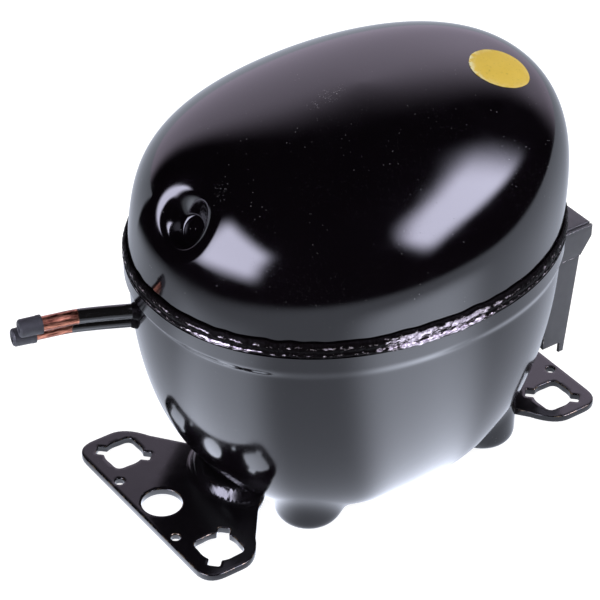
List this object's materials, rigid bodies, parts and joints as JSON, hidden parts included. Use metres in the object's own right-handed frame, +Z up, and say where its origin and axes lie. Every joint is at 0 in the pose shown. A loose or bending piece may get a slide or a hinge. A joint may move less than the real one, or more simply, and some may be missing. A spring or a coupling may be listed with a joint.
{
  "type": "hermetic reciprocating compressor",
  "caption": "Sealed refrigeration compressor: welded two-part shell on foot plates, capped pipe stubs, terminal fence, spring-hung motor and piston pump inside.",
  "frame": {"origin": "centre of the flat bottom of the shell, on the plane that the shell and its four spring pockets rest on", "axes": "+X from the suction and process tubes towards the electrical terminals, +Z up, +Y towards the discharge tube"},
  "size_m": [0.24, 0.1764, 0.1753],
  "materials": {
    "gloss_black_paint": "high gloss enamel",
    "satin_black_paint": "satin enamel, worn bright at cut edges",
    "grey_black_paint": "satin enamel",
    "painted_weld": "rough weld bead under thin paint",
    "yellow_label": "matte",
    "terminal_steel": "satin",
    "bright_steel": "machined",
    "lamination_steel": "blued laminations",
    "cast_iron": "as cast",
    "cast_aluminium": "die cast",
    "copper": "drawn copper tube",
    "enamelled_copper": "enamelled wire",
    "black_rubber": "matte",
    "white_plastic": "moulded",
    "seal_glass": "fused glass",
    "gasket_paper": "oiled gasket sheet"
  },
  "bodies": {
    "shell": {"upper_shell": "gloss_black_paint", "lower_shell": "gloss_black_paint", "weld_bead": "painted_weld", "inspection_label": "yellow_label", "base_plate_left": "satin_black_paint", "base_plate_right": "satin_black_paint", "terminal_fence": "grey_black_paint", "terminal_cup": "terminal_steel", "earth_screw": "bright_steel", "terminal_plug": "white_plastic", "lead_bundle": "white_plastic", "discharge_loop": "copper", "suction_tube": "copper", "process_tube": "copper", "discharge_tube": "copper", "glass_seal_1": "seal_glass", "glass_seal_2": "seal_glass", "glass_seal_3": "seal_glass", "terminal_pin_1": "bright_steel", "terminal_pin_2": "bright_steel", "terminal_pin_3": "bright_steel", "suspension_spring_1": "bright_steel", "suspension_spring_2": "bright_steel", "suspension_spring_3": "bright_steel", "suspension_spring_4": "bright_steel", "spring_seat_1": "white_plastic", "spring_seat_2": "white_plastic", "spring_seat_3": "white_plastic", "spring_seat_4": "white_plastic"},
    "pump": {"stator_core": "lamination_steel", "stator_winding": "enamelled_copper", "stator_bolt_1": "bright_steel", "stator_bolt_2": "bright_steel", "stator_bolt_3": "bright_steel", "stator_bolt_4": "bright_steel", "crankcase": "cast_iron", "thrust_washer": "bright_steel", "valve_gasket": "gasket_paper", "valve_plate": "bright_steel", "head_gasket": "gasket_paper", "cylinder_head": "cast_aluminium", "head_bolt_1": "bright_steel", "head_bolt_2": "bright_steel", "head_bolt_3": "bright_steel", "head_bolt_4": "bright_steel", "suction_muffler": "white_plastic"},
    "crank": {"crankshaft": "bright_steel", "rotor": "lamination_steel", "balance_weight": "bright_steel", "oil_pickup": "bright_steel"},
    "gallery_plug": {"oil_gallery_plug": "bright_steel"},
    "slider": {"slide_block": "bright_steel"},
    "piston": {"piston_yoke": "bright_steel"},
    "suction_flap": {"suction_reed": "bright_steel"},
    "discharge_flap": {"discharge_reed": "bright_steel"},
    "suction_stopper": {"suction_cap": "black_rubber"},
    "process_stopper": {"process_cap": "black_rubber"},
    "discharge_stopper": {"discharge_cap": "black_rubber"}
  },
  "joints": [
    {"name": "pump_bounce", "type": "slide", "parent": "shell", "child": "pump", "axis": [0, 0, 1], "range_m": [-0.003, 0.003], "stiffness_N_per_m": 12000, "springref_m": 0.0035, "deforming": ["suspension_spring_1", "suspension_spring_2", "suspension_spring_3", "suspension_spring_4", "discharge_loop", "lead_bundle"]},
    {"name": "crank_spin", "type": "hinge", "parent": "pump", "child": "crank", "pos_m": [0.0075, 0, 0.1], "axis": [0, 0, 1], "continuous": true},
    {"name": "slider_turn", "type": "hinge", "parent": "crank", "child": "slider", "pos_m": [0.0155, 0, 0.121], "axis": [0, 0, 1], "continuous": true},
    {"name": "plug_turn", "type": "hinge", "parent": "crank", "child": "gallery_plug", "pos_m": [0.0115, 0, 0.0275], "axis": [0, 0, 1], "continuous": true},
    {"name": "piston_stroke", "type": "hinge", "parent": "gallery_plug", "child": "piston", "pos_m": [0.0155, 0, 0.121], "axis": [0, 0, 1], "continuous": true},
    {"name": "suction_reed_flex", "type": "hinge", "parent": "pump", "child": "suction_flap", "pos_m": [0.06, -0.006, 0.112], "axis": [0, -1, 0], "range_deg": [0, 4], "stiffness_Nm_per_rad": 0.02},
    {"name": "discharge_reed_flex", "type": "hinge", "parent": "pump", "child": "discharge_flap", "pos_m": [0.063, 0.006, 0.112], "axis": [0, 1, 0], "range_deg": [0, 6], "stiffness_Nm_per_rad": 0.02},
    {"name": "suction_cap_pull", "type": "slide", "parent": "shell", "child": "suction_stopper", "axis": [-0.9707, 0.2402, 0], "range_m": [0, 0.012]},
    {"name": "process_cap_pull", "type": "slide", "parent": "shell", "child": "process_stopper", "axis": [-0.9707, 0.2402, 0], "range_m": [0, 0.012]},
    {"name": "discharge_cap_pull", "type": "slide", "parent": "shell", "child": "discharge_stopper", "axis": [0.4377, 0.8991, 0], "range_m": [0, 0.012]}
  ],
  "couplings": [
    {"joint": "slider_turn", "follows": "crank_spin", "ratio": -1},
    {"joint": "plug_turn", "follows": "crank_spin", "ratio": -2},
    {"joint": "piston_stroke", "follows": "crank_spin", "ratio": 1}
  ]
}
